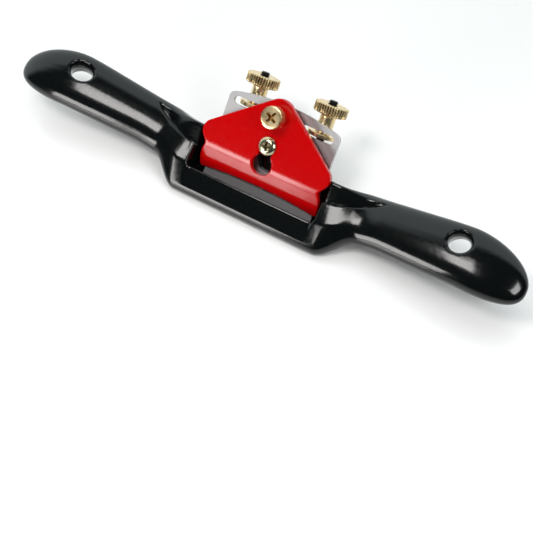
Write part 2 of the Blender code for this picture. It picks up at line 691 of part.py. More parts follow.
def make_nut(label, side, parts, bed_frame, surface):
    """A knurled adjusting nut whose collar runs in a slot of the cutter."""
    edge = 0.5 * MM
    bore = NUT_BORE_RADIUS
    outer = [(bore, NUT_HEAD_HIGH_S), (NUT_HEAD_RADIUS - edge, NUT_HEAD_HIGH_S),
             (NUT_HEAD_RADIUS, NUT_HEAD_HIGH_S - edge), (NUT_HEAD_RADIUS, NUT_HEAD_LOW_S + edge),
             (NUT_HEAD_RADIUS - edge, NUT_HEAD_LOW_S), (NECK_RADIUS + 0.8 * MM, NUT_HEAD_LOW_S),
             (NECK_RADIUS, NUT_HEAD_LOW_S - 1.6 * MM), (NECK_RADIUS, COLLAR_HIGH_S),
             (COLLAR_RADIUS - edge, COLLAR_HIGH_S), (COLLAR_RADIUS, COLLAR_HIGH_S - edge),
             (COLLAR_RADIUS, COLLAR_LOW_S + edge), (COLLAR_RADIUS - edge, COLLAR_LOW_S), (bore, COLLAR_LOW_S)]
    return turned("adjuster_nut_" + label, outer + outer[:1], parts, surface, bed_frame,
                  **along_bed(side * STUD_X, STUD_T))


# ---------------------------------------------------------------- assembly
def main():
    clear_scene()
    parts = collection(BODY_COLLECTION)
    cutters = collection("cutters")
    black_enamel = material("black_enamel", (0.010, 0.012, 0.012), 0.0, 0.12)
    red_enamel = material("red_enamel", (0.72, 0.004, 0.006), 0.0, 0.18)
    steel = material("ground_steel", (0.56, 0.56, 0.57), 1.0, 0.35)
    black_steel = material("black_steel", (0.02, 0.02, 0.022), 1.0, 0.35)
    brass = material("brass", (0.80, 0.62, 0.32), 1.0, 0.28)
    yellow_zinc = material("yellow_zinc", (0.70, 0.62, 0.36), 1.0, 0.25)

    mouth = add_object("mouth", None, bpy.context.scene.collection, location=(0, MOUTH_Y, 0))
    turned_up = (BED_ANGLE, 0, 0)
    bed_frame = add_object("bed_frame", None, bpy.context.scene.collection, None, mouth, rotation=turned_up)

    make_frame(parts, cutters, mouth, bed_frame, black_enamel)
    make_blade(parts, cutters, bed_frame, steel)
    make_lever_cap(parts, cutters, bed_frame, red_enamel)
    make_tension_screw(parts, cutters, bed_frame, brass)
    make_clamp_screw(parts, cutters, bed_frame, yellow_zinc)
    for side, label in ((-1, "left"), (1, "right")):
        make_stud(label, side, parts, bed_frame, black_steel)
        make_nut(label, side, parts, bed_frame, brass)


main()
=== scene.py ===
"""Looks of the adjustable spokeshave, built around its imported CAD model.

World frame: +X along the handles, +Y to the back, +Z up, the sole on z = 0.
Shapes are drawn from the mouth, like the CAD. Pieces that lie on the bed are
drawn in the bed's own directions: x, s up along the cutter and t out of its
upper face, which are the local X, Y and Z of BED.
"""
import math

import bmesh
import bpy
import numpy as np
from mathutils import Euler, Matrix, Vector


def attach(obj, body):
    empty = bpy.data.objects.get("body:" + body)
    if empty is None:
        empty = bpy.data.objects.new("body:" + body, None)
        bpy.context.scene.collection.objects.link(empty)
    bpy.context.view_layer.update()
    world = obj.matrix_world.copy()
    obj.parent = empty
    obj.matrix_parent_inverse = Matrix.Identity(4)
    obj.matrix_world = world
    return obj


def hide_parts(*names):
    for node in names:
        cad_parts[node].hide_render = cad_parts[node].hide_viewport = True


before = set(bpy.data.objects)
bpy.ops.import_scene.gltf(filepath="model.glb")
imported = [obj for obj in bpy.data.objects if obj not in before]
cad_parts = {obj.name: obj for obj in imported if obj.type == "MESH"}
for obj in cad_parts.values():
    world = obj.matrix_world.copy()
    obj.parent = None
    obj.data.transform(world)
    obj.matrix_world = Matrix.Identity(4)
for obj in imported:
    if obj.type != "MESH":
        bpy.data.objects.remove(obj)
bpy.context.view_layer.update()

MM = 0.001
GAP = 0.3 * MM                      # between pieces that move past each other
TAU = 2 * math.pi

# ---------------------------------------------------------------- sizes of the casting
MOUTH_Y = -9.5 * MM
SPAN = 245.6 * MM
SOLE_HALF_LENGTH = 35 * MM
WEB_END_X = 50 * MM
BAY_HALF_WIDTH = 31.6 * MM
TOE_REAR_Y = -1.5 * MM
BED_THICKNESS = 4.5 * MM
SOLE_THICKNESS = 3.5 * MM
BED_TOP_S = 31 * MM
BED_CORNER_X = 19.5 * MM            # centre of the round corner
BED_CORNER_RADIUS = 2.5 * MM
BED_OVERLAP = 0.6 * MM              # how far the bed runs into the cheeks
BED_WIDE_S = (9 * MM, 15 * MM)      # from here to here it is as wide as the bay
BED_SHOULDER = (26.3 * MM, 23 * MM)
STUD_X = 16.7 * MM
STUD_T = -5.2 * MM
STUD_RADIUS = 2.0 * MM
STUD_BOTTOM_S = 22 * MM
STUD_TOP_S = 54.4 * MM
LUG_RADIUS = 4.4 * MM
LUG_T = -6.3 * MM
LUG_LOW_S = 14 * MM
LUG_TOP_S = 34.5 * MM
CLAMP_BOSS_RADIUS = 4.8 * MM
CLAMP_BOSS_T = -10.2 * MM
# x, y and z of each oval hang hole, half length and half width at its throat,
# all in millimetres, its lean to the front and its tilt towards +X in degrees.
HANG_HOLES = ((-95.0, 10.6, 20.4, 4.8, 3.8, 8, 16), (91.4, 11.2, 20.4, 4.3, 4.1, 12, 0))
HANG_HOLE_THROAT = 1.5 * MM         # height of the throat over the middle
HANG_HOLE_FACE = 6 * MM             # height of the handle's faces over and under the middle
UPPER_FLARE = 1.0 * MM              # added to the half length at the upper face
LOWER_FLARE = 1.8 * MM              # and at the lower face

# Sections of a handle in millimetres: x, centre y and z, half width and half thickness.
GRIP_STATIONS = (
    (35, 9.8, 9.2, 11.3, 7.2),
    (50, 10.2, 10.6, 11.2, 7.0),
    (58, 10.1, 12.5, 11.0, 7.0),
    (74, 9.2, 16.0, 11.7, 6.8),
    (90, 8.4, 19.2, 12.4, 6.5),
    (98, 8.0, 20.2, 12.5, 6.4),
    (112, 6.6, 20.0, 12.0, 6.2),
    (124, 5.0, 18.6, 11.6, 6.0),
)
GRIP_LEAN = math.radians(20)
GRIP_SQUARENESS = 2.3
GRIP_ROUND_START = 98 * MM
GRIP_END_SQUARENESS = 2.3
# Round corners of the section between the handles in millimetres: y, z, radius.
CHEEK_CORNERS = (
    (-8.0, 1.7, 1.7),
    (-6.2, 2.8, 3.7),
    (-2.8, 5.4, 1.1),
    (5.7, 14.6, 1.4),
    (13.6, 19.6, 1.4),
    (17.0, 13.2, 2.2),
    (16.4, 1.55, 1.6),
)
# Front corner of each cheek's top beside the throat, given alike, and how steeply it climbs outwards.
CHEEK_SHELF = (-1.0, 11.4, 1.2)
CHEEK_SHELF_RISE = 0.18
# Rim of the hollow in each handle's root, seen from above, as x and y in millimetres.
POCKET_FRONT = ((54.4, 13.6), (49.5, 11.3), (44.0, 8.7), (38.0, 6.4), (28.0, 5.4))
POCKET_REAR = ((28.0, 13.2), (40.0, 14.7), (51.0, 16.0))
POCKET_TIP = (57.6, 16.0)
POCKET_DEPTH = 4.0 * MM
POCKET_FRONT_WALL = 1.3 * MM        # from the front ridge to the full depth
POCKET_LOW_Z = 9 * MM               # nothing is pressed in below this height
POCKET_FADE = 4 * MM                # height over which the pressing sets in

SECTION_POINTS = 80                 # round each section of the casting
SECTION_STEP = 1.6 * MM             # between the sections of a handle
TIP_SECTIONS = 26                   # on the round end of a handle
CASTING_VOXEL = 0.58 * MM
CASTING_RELAX_PASSES = 4
GROUND_BELOW_Z = 0.35 * MM          # lower faces that look down are ground bright

# ---------------------------------------------------------------- sizes on the bed
BLADE_WIDTH = 54 * MM
BLADE_THICKNESS = 1.5 * MM
BLADE_EDGE_S = 0.4 * MM
BLADE_CORNER_S = 42.6 * MM
BLADE_TOP_S = 45.7 * MM
BLADE_CORNER_RADIUS = 2.5 * MM
BEVEL_ANGLE = math.radians(25)
ADJUST_SLOT_S = 39.4 * MM
ADJUST_SLOT_LENGTH = 15.4 * MM
ADJUST_SLOT_WIDTH = 3.6 * MM
SCREW_SLOT_WIDTH = 9.6 * MM
SCREW_SLOT_LOW_S = 20.5 * MM
SCREW_SLOT_HIGH_S = 29 * MM

NUT_BORE_RADIUS = STUD_RADIUS + GAP
COLLAR_RADIUS = 6.5 * MM
COLLAR_LOW_S = 38.5 * MM
COLLAR_HIGH_S = 40.3 * MM
NECK_RADIUS = 3.4 * MM
NUT_HEAD_RADIUS = 7.3 * MM
NUT_HEAD_LOW_S = 48.4 * MM
NUT_HEAD_HIGH_S = 52.9 * MM
NUT_TEETH = 38
KNURL_SHADE_DEPTH = 0.4 * MM        # cut depth at which the painted shade in a groove is darkest
STUD_PITCH = 0.8 * MM
SCREW_PITCH = 0.7 * MM              # of both screws

CAP_FACE_T = 6.2 * MM
CAP_THICKNESS = 2.8 * MM
CAP_APEX_S = 48.4 * MM
CAP_APEX_RADIUS = 7 * MM
CAP_EAR_X = 26.4 * MM
CAP_EAR_S = 24.2 * MM
CAP_EAR_RADIUS = 4.8 * MM
# Side of the cap from the waist to the foot, as x and s in millimetres.
CAP_SIDE = ((28.4, 19.0), (28.0, 17.8), (28.7, 16.4), (29.2, 14.8), (29.4, 11.5), (29.3, 8.6), (28.9, 7.6))
# Upper side of the cap from its flat plate over the bend and the front band to the lip, as s and t.
CAP_BAND = ((19.6, 6.2), (18.2, 6.1), (17.0, 5.8), (15.9, 5.42), (10.8, 3.4), (8.6, 2.2), (5.0, 1.2))
CAP_LIP_REAR_S = 11.4 * MM          # the lip lies on the cutter as far as this
CAP_UNDER_S = 16.5 * MM             # and the flat underside begins here
CAP_FOOT_X = 28.0 * MM              # where the foot's arch starts
CAP_FOOT_S = 7.3 * MM
CAP_FOOT_RISE = 1.9 * MM
CAP_SLIDE = 8.3 * MM
KEYHOLE_RADIUS = 4.6 * MM
KEYHOLE_NECK_RADIUS = 2.9 * MM
CAP_VOXEL = 0.34 * MM
CAP_RELAX_PASSES = 7

CLAMP_SCREW_S = 27.6 * MM
CLAMP_SCREW_RADIUS = 2.4 * MM
CLAMP_HEAD_RADIUS = 4.0 * MM
CLAMP_HEAD_TOP_T = 8.0 * MM
CLAMP_TIP_T = -9.2 * MM
TENSION_SCREW_S = 40.5 * MM
TENSION_SCREW_RADIUS = 2.5 * MM
TENSION_HEAD_RADIUS = 4.8 * MM
TENSION_HEAD_LOW_T = 9.3 * MM
TENSION_HEAD_TOP_T = 13.2 * MM
TENSION_SCREW_TEETH = 52

FROM_MOUTH = Matrix.Translation((0, MOUTH_Y, 0))
BED = FROM_MOUTH @ Matrix.Rotation(math.radians(45), 4, "X")
UP_THE_BED = Matrix.Rotation(-math.pi / 2, 4, "X")     # local Z becomes s


# ---------------------------------------------------------------- node materials
class Nodes:
    """A small builder for one node material."""

    def __init__(self, name):
        self.material = bpy.data.materials.new(name)
        self.material.use_nodes = True
        self.tree = self.material.node_tree
        self.shader = self.tree.nodes["Principled BSDF"]

    def add(self, kind, **settings):
        """Add a node and set its properties and the inputs named like sockets."""
        node = self.tree.nodes.new(kind)
        for key, value in settings.items():
            if hasattr(node, key):
                setattr(node, key, value)
            else:
                node.inputs[key.replace("_", " ")].default_value = value
        return node

    def link(self, start, end):
        self.tree.links.new(start, end)

    def set(self, **values):
        """Set constants on the shader's own sockets."""
        for key, value in values.items():
            self.shader.inputs[key.replace("_", " ")].default_value = value

    def position(self, stretch=(1, 1, 1), turn=(0, 0, 0)):
        """Object-space coordinates, turned and stretched."""
        coordinates = self.add("ShaderNodeTexCoord")
        mapping = self.add("ShaderNodeMapping")
        mapping.inputs["Rotation"].default_value = turn
        mapping.inputs["Scale"].default_value = stretch
        self.link(coordinates.outputs["Object"], mapping.inputs["Vector"])
        return mapping.outputs["Vector"]

    def noise(self, vector, scale, detail=3.0, rough=0.5):
        node = self.add("ShaderNodeTexNoise", Scale=scale, Detail=detail, Roughness=rough)
        self.link(vector, node.inputs["Vector"])
        return node.outputs["Fac"]

    def spread(self, value, low, high, start=0.3, end=0.7):
        """Map a value from start..end to low..high."""
        node = self.add("ShaderNodeMapRange")
        for key, number in (("From Min", start), ("From Max", end), ("To Min", low), ("To Max", high)):
            node.inputs[key].default_value = number
        self.link(value, node.inputs["Value"])
        return node.outputs["Result"]

    def mix(self, factor, first, second):
        """Mix two colours by a factor socket."""
        node = self.add("ShaderNodeMix", data_type="RGBA")
        self.link(factor, node.inputs["Factor"])
        for socket, value in ((node.inputs[6], first), (node.inputs[7], second)):
            if isinstance(value, tuple):
                socket.default_value = (*value, 1.0)
            else:
                self.link(value, socket)
        return node.outputs[2]

    def bump(self, height, strength, distance, under=None):
        node = self.add("ShaderNodeBump", Strength=strength, Distance=distance)
        self.link(height, node.inputs["Height"])
        if under is not None:
            self.link(under, node.inputs["Normal"])
        return node.outputs["Normal"]


def enamel(name, colour, deep, roughness, wave):
    """Gloss enamel over a casting: slow waves, fine orange peel, a little dust."""
    made = Nodes(name)
    where = made.position()
    slow = made.noise(where, 95.0, 2.0)
    fine = made.noise(where, 900.0, 2.0)
    made.link(made.mix(slow, deep, colour), made.shader.inputs["Base Color"])
    made.link(made.spread(fine, roughness * 0.8, roughness * 1.3), made.shader.inputs["Roughness"])
    waves = made.bump(slow, 0.5, wave)
    made.link(made.bump(fine, 0.12, 0.00002, waves), made.shader.inputs["Normal"])
    made.set(IOR=1.5)
    return made.material


def ground_steel(name, along):
    """Satin steel with the fine straight lines of a grinding wheel."""
    made = Nodes(name)
    stretch = (1.0, 0.03, 1.0) if along else (0.03, 1.0, 1.0)
    lines = made.noise(made.position(stretch), 5200.0, 3.0, 0.7)
    clouds = made.noise(made.position(), 130.0, 3.0)
    made.link(made.mix(clouds, (0.50, 0.50, 0.51), (0.56, 0.56, 0.57)), made.shader.inputs["Base Color"])
    made.link(made.spread(lines, 0.36, 0.48), made.shader.inputs["Roughness"])
    made.link(made.bump(lines, 0.25, 0.00001), made.shader.inputs["Normal"])
    made.set(Metallic=1.0)
    return made.material


def turned_metal(name, light, dark, roughness, groove):
    """Turned metal with soft clouds, and painted shade in the grooves of its knurl or thread."""
    made = Nodes(name)
    where = made.position()
    clouds = made.noise(where, 260.0, 2.0)
    grain = made.noise(where, 2400.0, 2.0)
    # Painted shade: the deeper a groove is cut, the nearer its colour comes to the groove colour.
    depth = made.add("ShaderNodeAttribute", attribute_name="groove")
    shade = made.spread(depth.outputs["Fac"], 0.0, 1.0, 0.12, 1.0)
    made.link(made.mix(shade, made.mix(clouds, dark, light), groove), made.shader.inputs["Base Color"])
    made.link(made.spread(clouds, roughness * 0.85, roughness * 1.2), made.shader.inputs["Roughness"])
    made.link(made.bump(grain, 0.08, 0.00001), made.shader.inputs["Normal"])
    made.set(Metallic=1.0)
    return made.material


# ---------------------------------------------------------------- mesh helpers
def new_object(name, data):
    made = bpy.data.objects.new(name, data)
    bpy.context.scene.collection.objects.link(made)
    return made


def mesh_data(name, points, faces, place=None):
    """Mesh data from points and faces, with its faces pointing out."""
    shape = bmesh.new()
    corners = [shape.verts.new(point) for point in points]
    for face in faces:
        shape.faces.new([corners[index] for index in face])
    bmesh.ops.recalc_face_normals(shape, faces=shape.faces)
    data = bpy.data.meshes.new(name)
    shape.to_mesh(data)
    shape.free()
    if place is not None:
        data.transform(place)
    return data


def loft(name, rings, place=None):
    """Closed body through rings of equal length, with flat ends."""
    count = len(rings[0])
    points = [point for ring in rings for point in ring]
    faces = [tuple(range(count)), tuple(range(len(points) - count, len(points)))]
    for row in range(len(rings) - 1):
        for index in range(count):
            after = (index + 1) % count
            faces.append((row * count + index, row * count + after,
                          (row + 1) * count + after, (row + 1) * count + index))
    return mesh_data(name, points, faces, place)


def prism(name, outline, low, high, place=None):
    """Extrude an outline of the local X-Y plane from low to high."""
    rings = [[(x, y, height) for x, y in outline] for height in (low, high)]
    return loft(name, rings, place)


def across(name, outline, half_width, place):
    """Extrude an outline of the local Y-Z plane to both sides of x = 0."""
    rings = [[(x, y, z) for y, z in outline] for x in (-half_width, half_width)]
    return loft(name, rings, place)


def lathe(name, profile, steps, place, wave=None):
    """Turn (radius, height, depth) rows around local Z. wave gives the share of depth cut away.

    A row with radius 0 at either end closes the body there. If the first and last
    rows are the same, the body is a ring.
    """
    ring_body = profile[0] == profile[-1]
    rows = profile[:-1] if ring_body else profile
    grooves = []
    points = []
    starts = []
    for radius, height, depth in rows:
        starts.append(len(points))
        if radius == 0:
            points.append((0, 0, height))
            grooves.append(0)
            continue
        for index in range(steps):
            angle = TAU * index / steps
            groove = depth * wave(angle, height) if wave and depth else 0
            points.append(((radius - groove) * math.cos(angle), (radius - groove) * math.sin(angle), height))
            grooves.append(groove / KNURL_SHADE_DEPTH)
    faces = []
    pairs = list(zip(range(len(rows)), range(1, len(rows))))
    if ring_body:
        pairs.append((len(rows) - 1, 0))
    for first, second in pairs:
        for index in range(steps):
            after = (index + 1) % steps
            upper = [starts[first] + index, starts[first] + after]
            lower = [starts[second] + after, starts[second] + index]
            if rows[first][0] == 0:
                upper = [starts[first]]
            if rows[second][0] == 0:
                lower = [starts[second]]
            faces.append(upper + lower)
    data = mesh_data(name, points, faces, place)
    # The groove attribute sets how dark the painted shade in each groove is.
    data.attributes.new("groove", "FLOAT", "POINT").data.foreach_set("value", grooves)
    return data


def arc(centre, radius, start, end, count):
    """Points on an arc between two angles in degrees, both ends included."""
    angles = [math.radians(start + (end - start) * index / (count - 1)) for index in range(count)]
    return [(centre[0] + radius * math.cos(angle), centre[1] + radius * math.sin(angle)) for angle in angles]


def bake_modifiers(item):
    """Replace an object's mesh by its evaluated one."""
    bpy.context.view_layer.update()
    evaluated = item.evaluated_get(bpy.context.evaluated_depsgraph_get())
    data = bpy.data.meshes.new_from_object(evaluated)
    item.modifiers.clear()
    old = item.data
    item.data = data
    bpy.data.meshes.remove(old)
    return item


def cut(item, data, operation="DIFFERENCE"):
    """Boolean with a tool mesh, applied at once."""
    tool = new_object("tool", data)
    modifier = item.modifiers.new("cut", "BOOLEAN")
    modifier.operation = operation
    modifier.solver = "MANIFOLD"
    modifier.object = tool
    bake_modifiers(item)
    bpy.data.objects.remove(tool, do_unlink=True)


def soften(item, voxel, passes, factor=0.5):
    """Round every edge as a casting's are: remesh, then relax."""
    remesh = item.modifiers.new("remesh", "REMESH")
    remesh.mode = "VOXEL"
    remesh.voxel_size = voxel
    relax = item.modifiers.new("relax", "SMOOTH")
    relax.factor = factor
    relax.iterations = passes
    bake_modifiers(item)


def finish_piece(item, surface, body, node, sharp=None):
    """Shade a piece, give it its material, and hand it to the frame."""
    item.data.materials.clear()
    for material in surface if isinstance(surface, (list, tuple)) else [surface]:
        item.data.materials.append(material)
    item.data.shade_smooth()
    if sharp is not None:
        item.data.set_sharp_from_angle(angle=math.radians(sharp))
    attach(item, body)
    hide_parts(node)
    return item


# ---------------------------------------------------------------- the casting
def smooth_step(value):
    value = min(max(value, 0.0), 1.0)
    return value * value * (3 - 2 * value)


def along_stations(stations, x):
    """Hermite interpolation of a station table at x."""
    xs = [row[0] for row in stations]
    last = len(xs) - 1
    index = max(i for i in range(last) if xs[i] <= x)
    span = xs[index + 1] - xs[index]
    part = (x - xs[index]) / span
    before = max(index - 1, 0)
    after = min(index + 2, last)
    values = []
    for column in range(1, len(stations[0])):
        rows = [row[column] for row in stations]
        slope_start = (rows[index + 1] - rows[before]) / (xs[index + 1] - xs[before]) * span
        slope_end = (rows[after] - rows[index]) / (xs[after] - xs[index]) * span
        cubic = (2 * part**3 - 3 * part**2 + 1) * rows[index]
        cubic += (part**3 - 2 * part**2 + part) * slope_start
        cubic += (3 * part**2 - 2 * part**3) * rows[index + 1]
        cubic += (part**3 - part**2) * slope_end
        values.append(cubic)
    return values


def cheek_point(x, angle):
    """Point of the outline at x whose outward normal has this angle, with the sole cut flat.

    Beyond the throat the outline has the shelf corner too; in front of the throat it is the low toe.
    """
    corners = list(CHEEK_CORNERS)
    beyond = abs(x) - BAY_HALF_WIDTH
    if beyond >= 0:
        y, z, r = CHEEK_SHELF
        corners.append((y, z + CHEEK_SHELF_RISE * beyond / MM, r))
    across_y, upward = math.cos(angle), math.sin(angle)
    y, z, r = max(corners, key=lambda corner: corner[0] * across_y + corner[1] * upward + corner[2])
    return Vector(((y + r * across_y) * MM, max(z + r * upward, 0) * MM))


def grip_point(x, angle):
    """Point of the grip's oval at x whose outward normal has this angle."""
    y, z, half_width, half_thick = along_stations(GRIP_STATIONS, x / MM)
    run = max(x - GRIP_ROUND_START, 0) / (SPAN / 2 - GRIP_ROUND_START)
    shrink = max(1 - run ** GRIP_END_SQUARENESS, 0) ** (1 / GRIP_END_SQUARENESS)
    power = GRIP_SQUARENESS / (GRIP_SQUARENESS - 1)
    width = half_width * shrink
    thick = half_thick * shrink
    lean = Matrix.Rotation(GRIP_LEAN, 2)
    turn = angle - GRIP_LEAN
    across_y, upward = math.cos(turn), math.sin(turn)
    norm = (abs(width * across_y) ** power + abs(thick * upward) ** power) ** (1 / GRIP_SQUARENESS)
    norm = max(norm, 1e-9)
    out = Vector((math.copysign(abs(width * across_y) ** (power - 1), across_y) * width / norm,
                  math.copysign(abs(thick * upward) ** (power - 1), upward) * thick / norm))
    return (Vector((y, z)) + lean @ out) * MM


def casting_ring(x, steps):
    """Section of the casting at x as points in space."""
    reach = abs(x)
    share = smooth_step((reach - SOLE_HALF_LENGTH) / (WEB_END_X - SOLE_HALF_LENGTH))
    ring = []
    for index in range(steps):
        angle = TAU * (index + 0.5) / steps
        grip = grip_point(max(reach, SOLE_HALF_LENGTH), angle)
        point = cheek_point(x, angle) * (1 - share) + grip * share
        ring.append((x, point.x, point.y))
    return ring


def casting_mesh():
    """The outer body of the casting, from tip to tip."""
    half = SPAN / 2
    even = np.arange(SOLE_HALF_LENGTH, GRIP_ROUND_START, SECTION_STEP)
    rounding = [GRIP_ROUND_START + (half - GRIP_ROUND_START) * math.sin(math.pi / 2 * index / TIP_SECTIONS)
                for index in range(TIP_SECTIONS)]
    right = [8 * MM, 20 * MM, 30.6 * MM, BAY_HALF_WIDTH, 33.2 * MM, *even, *rounding, half - 0.03 * MM]
    stations = [-x for x in reversed(right)] + right
    return loft("casting", [casting_ring(x, SECTION_POINTS) for x in stations], FROM_MOUTH)


def bed_line_y(t, z):
    """The y, from the mouth, where the plane at distance t over the cutter's face meets height z."""
    return z - t * math.sqrt(2)


def distance_to(point, line):
    """Shortest distance from a point to a line of straight pieces."""
    nearest = 1.0
    for start, end in zip(line, line[1:]):
        edge = end - start
        share = min(max((point - start).dot(edge) / edge.length_squared, 0), 1)
        nearest = min(nearest, (point - start - edge * share).length)
    return nearest


def sink_pockets(item):
    """Press the three-cornered hollow into the root of each handle.

    It is open towards the bay. Its front rim is a sharp ridge, its rear rim is soft.
    """
    front = [Vector(point) * MM for point in (POCKET_TIP, *POCKET_FRONT)]
    rear = [Vector(point) * MM for point in (*POCKET_REAR, POCKET_TIP)]
    rim = front + rear[:-1]
    for vertex in item.data.vertices:
        point = Vector((abs(vertex.co.x), vertex.co.y - MOUTH_Y))
        if point.x > POCKET_TIP[0] * MM or point.x < front[-1].x or vertex.co.z < POCKET_LOW_Z:
            continue
        inside = False
        for start, end in zip(rim, rim[1:] + rim[:1]):
            if (start.y > point.y) != (end.y > point.y):
                crossing = start.x + (point.y - start.y) * (end.x - start.x) / (end.y - start.y)
                inside ^= point.x < crossing
        if inside:
            front_gap = distance_to(point, front)
            rear_gap = distance_to(point, rear)
            share = smooth_step(front_gap / POCKET_FRONT_WALL) * rear_gap / (rear_gap + front_gap)
            share *= smooth_step((vertex.co.z - POCKET_LOW_Z) / POCKET_FADE)
            vertex.co.z -= POCKET_DEPTH * share


def hang_hole_tool(x, y, z, half_length, half_width, lean, tilt):
    """Hole near the end of a handle, flared towards both faces. The tool is twice as long as the hole."""
    face = HANG_HOLE_FACE
    steps = 12                      # from the middle to a face
    rows = [(0, -2 * face, 0)]
    for index in range(-2 * steps, 2 * steps + 1):
        height = index * face / steps
        above = (height - HANG_HOLE_THROAT) / (face - HANG_HOLE_THROAT)
        below = (HANG_HOLE_THROAT - height) / (face + HANG_HOLE_THROAT)
        flare = UPPER_FLARE * max(above, 0) ** 2 + LOWER_FLARE * max(below, 0)
        rows.append((half_length * MM + flare, height, 0))
    rows.append((0, 2 * face, 0))
    turn = Matrix.Rotation(math.radians(tilt), 4, "Y") @ Matrix.Rotation(math.radians(lean), 4, "X")
    oval = Matrix.Diagonal((1, half_width / half_length, 1, 1))
    place = FROM_MOUTH @ Matrix.Translation(Vector((x, y, z)) * MM) @ turn
    return lathe("hang_hole", rows, 48, place @ oval)


def cylinder(name, radius, low, high, place, steps=40):
    return lathe(name, [(0, high, 0), (radius, high, 0), (radius, low, 0), (0, low, 0)], steps, place)


def bed_outline():
    """The bed seen square on, as (x, s)."""
    wide = BAY_HALF_WIDTH + BED_OVERLAP
    right = [(wide, s) for s in BED_WIDE_S]
    right.append(BED_SHOULDER)
    right += arc((BED_CORNER_X, BED_TOP_S - BED_CORNER_RADIUS), BED_CORNER_RADIUS, 30, 90, 8)
    return right + [(-x, s) for x, s in reversed(right)]


def make_casting(surfaces):
    """Toe, cheeks, bed, sole and both handles in one piece."""
    body = new_object("casting", casting_mesh())
    bed_t = -BLADE_THICKNESS - GAP
    back_t = bed_t - BED_THICKNESS
    cut(body, prism("block", bed_outline(), back_t + 0.1 * MM, bed_t + 3 * MM, BED), "UNION")
    # The bay between toe and bed, cut from under the sole to over the bed.
    low, high = -4 * MM, 48 * MM
    bay = [(TOE_REAR_Y, low), (bed_line_y(bed_t, low), low)]
    bay += [(bed_line_y(bed_t, high), high), (TOE_REAR_Y, high)]
    cut(body, across("bay", bay, BAY_HALF_WIDTH, FROM_MOUTH))
    # The hollow behind the bed and over the sole, cut as far as clear of the back.
    reach = 42 * MM
    start = bed_line_y(back_t, SOLE_THICKNESS)
    hollow = [(start, SOLE_THICKNESS), (reach, SOLE_THICKNESS), (reach, reach - start + SOLE_THICKNESS)]
    cut(body, across("hollow", hollow, BAY_HALF_WIDTH, FROM_MOUTH))
    for side in (-1, 1):
        axis = BED @ Matrix.Translation((side * STUD_X, 0, LUG_T)) @ UP_THE_BED
        cut(body, cylinder("lug", LUG_RADIUS, LUG_LOW_S, LUG_TOP_S, axis), "UNION")
    boss_place = BED @ Matrix.Translation((0, CLAMP_SCREW_S, 0))
    cut(body, cylinder("boss", CLAMP_BOSS_RADIUS, CLAMP_BOSS_T, -4 * MM, boss_place), "UNION")
    for side in (-1, 1):
        axis = BED @ Matrix.Translation((side * STUD_X, 0, STUD_T)) @ UP_THE_BED
        cut(body, cylinder("bore", STUD_RADIUS + GAP, STUD_BOTTOM_S - GAP, LUG_TOP_S + 5 * MM, axis))
    for hole in HANG_HOLES:
        cut(body, hang_hole_tool(*hole))
    cut(body, cylinder("clamp_bore", CLAMP_SCREW_RADIUS + GAP, -15 * MM, 5 * MM, boss_place))
    soften(body, CASTING_VOXEL, CASTING_RELAX_PASSES)
    sink_pockets(body)
    finish_piece(body, surfaces, "frame", "frame")
    for face in body.data.polygons:
        if face.center.z < GROUND_BELOW_Z and face.normal.z < -0.9:
            face.material_index = 1
    return body


# ---------------------------------------------------------------- cutter
def plate(name, loops, low, high, place):
    """Extrude an outline with holes."""
    curve = bpy.data.curves.new(name, "CURVE")
    curve.dimensions = "2D"
    curve.fill_mode = "BOTH"
    curve.extrude = (high - low) / 2
    for loop in loops:
        spline = curve.splines.new("POLY")
        spline.points.add(len(loop) - 1)
        for point, (x, y) in zip(spline.points, loop):
            point.co = (x, y, 0, 1)
        spline.use_cyclic_u = True
    holder = new_object(name + "_curve", curve)
    bpy.context.view_layer.update()
    data = bpy.data.meshes.new_from_object(holder.evaluated_get(bpy.context.evaluated_depsgraph_get()))
    bpy.data.objects.remove(holder, do_unlink=True)
    shape = bmesh.new()
    shape.from_mesh(data)
    bmesh.ops.remove_doubles(shape, verts=shape.verts, dist=0.01 * MM)
    bmesh.ops.recalc_face_normals(shape, faces=shape.faces)
    shape.to_mesh(data)
    shape.free()
    data.transform(place @ Matrix.Translation((0, 0, (low + high) / 2)))
    return data


def blade_outline():
    """Square at the edge, round corners, a crowned top."""
    half = BLADE_WIDTH / 2
    radius = BLADE_CORNER_RADIUS
    crown_x = half - 2 * MM
    crown_drop = BLADE_TOP_S - BLADE_CORNER_S
    right = [(half, BLADE_EDGE_S)]
    right += arc((half - radius, BLADE_CORNER_S - radius), radius, 0, 68, 13)
    count = 16
    for index in range(count):
        share = 1 - index / count
        right.append((crown_x * share, BLADE_TOP_S - crown_drop * share**2 + 0.1 * MM * share))
    return right + [(0, BLADE_TOP_S)] + [(-x, s) for x, s in reversed(right)]


